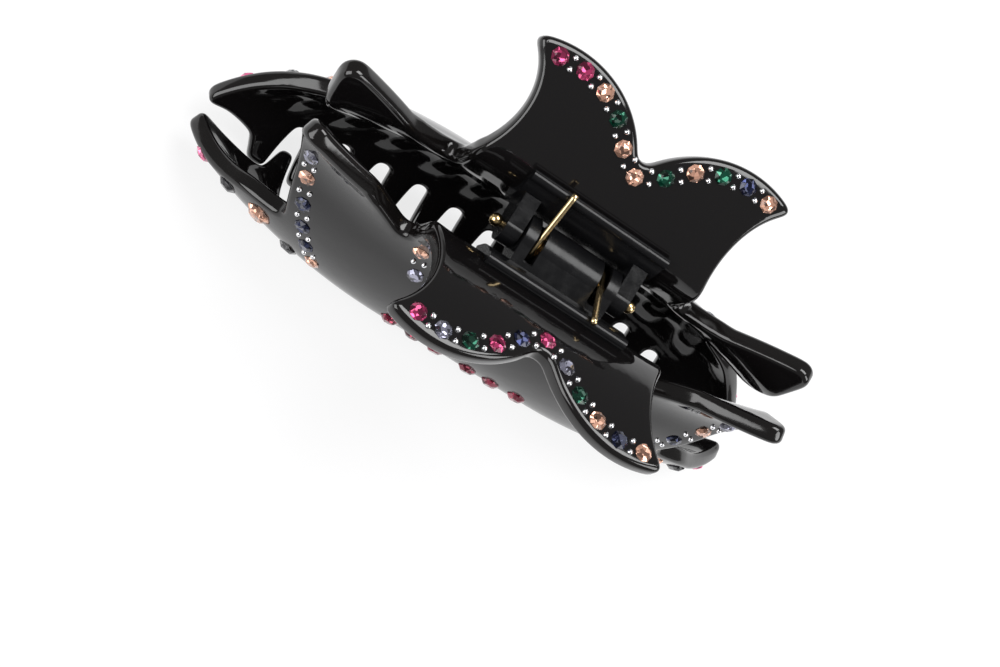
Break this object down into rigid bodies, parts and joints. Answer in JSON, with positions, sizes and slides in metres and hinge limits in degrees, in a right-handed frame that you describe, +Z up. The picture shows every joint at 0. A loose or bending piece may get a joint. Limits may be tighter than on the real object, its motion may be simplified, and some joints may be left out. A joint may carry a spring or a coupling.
{
  "type": "butterfly hair claw clip",
  "caption": "Butterfly-shaped hair claw: two winged black acetate jaws with interlocking hooked teeth on a sprung hinge, edged with coloured stones and silver beads.",
  "frame": {"origin": "centre of the bounding box's bottom, where the closed claw stands on its hooked teeth", "axes": "+X along the hinge pin and the claw's length, +Y across the jaws from the front jaw to the back jaw, +Z up through the hinge"},
  "size_m": [0.1218, 0.053, 0.0627],
  "materials": {
    "black_acetate": "polished cellulose acetate with tumbled edges",
    "hinge_plastic": "moulded black plastic, satin to gloss",
    "brass_pin": "bright drawn brass",
    "brass_wire": "drawn brass-plated spring wire",
    "silver_bead": "bright silver",
    "peach_glass": "foil-backed faceted glass",
    "emerald_glass": "foil-backed faceted glass",
    "rose_glass": "foil-backed faceted glass",
    "blue_glass": "foil-backed faceted glass",
    "clear_glass": "foil-backed faceted glass",
    "pink_glass": "foil-backed faceted glass",
    "jet_glass": "foil-backed faceted glass",
    "ruby_glass": "foil-backed faceted glass"
  },
  "bodies": {
    "front": {"front_jaw": "black_acetate", "front_hinge_leaf": "hinge_plastic", "front_plate_peach_stones": "peach_glass", "front_plate_emerald_stones": "emerald_glass", "front_plate_rose_stones": "rose_glass", "front_plate_blue_stones": "blue_glass", "front_plate_clear_stones": "clear_glass", "front_plate_beads": "silver_bead", "front_wing_peach_stones": "peach_glass", "front_wing_blue_stones": "blue_glass", "front_wing_clear_stones": "clear_glass", "front_wing_beads": "silver_bead", "front_pink_gems": "pink_glass", "front_peach_gems": "peach_glass", "front_jet_gems": "jet_glass", "front_ruby_gems": "ruby_glass", "hinge_pin": "brass_pin", "torsion_spring": "brass_wire"},
    "back": {"back_jaw": "black_acetate", "back_hinge_leaf": "hinge_plastic", "back_plate_peach_stones": "peach_glass", "back_plate_emerald_stones": "emerald_glass", "back_plate_rose_stones": "rose_glass", "back_plate_blue_stones": "blue_glass", "back_plate_beads": "silver_bead", "back_wing_peach_stones": "peach_glass", "back_wing_blue_stones": "blue_glass", "back_wing_clear_stones": "clear_glass", "back_wing_beads": "silver_bead", "back_pink_gems": "pink_glass", "back_peach_gems": "peach_glass", "back_jet_gems": "jet_glass", "back_ruby_gems": "ruby_glass"}
  },
  "joints": [
    {"name": "jaw_hinge", "type": "hinge", "parent": "front", "child": "back", "pos_m": [0, 0, 0.04681], "axis": [1, 0, 0], "range_deg": [0, 70], "stiffness_Nm_per_rad": 0.09, "springref_deg": -51.57, "deforming": ["torsion_spring"]}
  ]
}
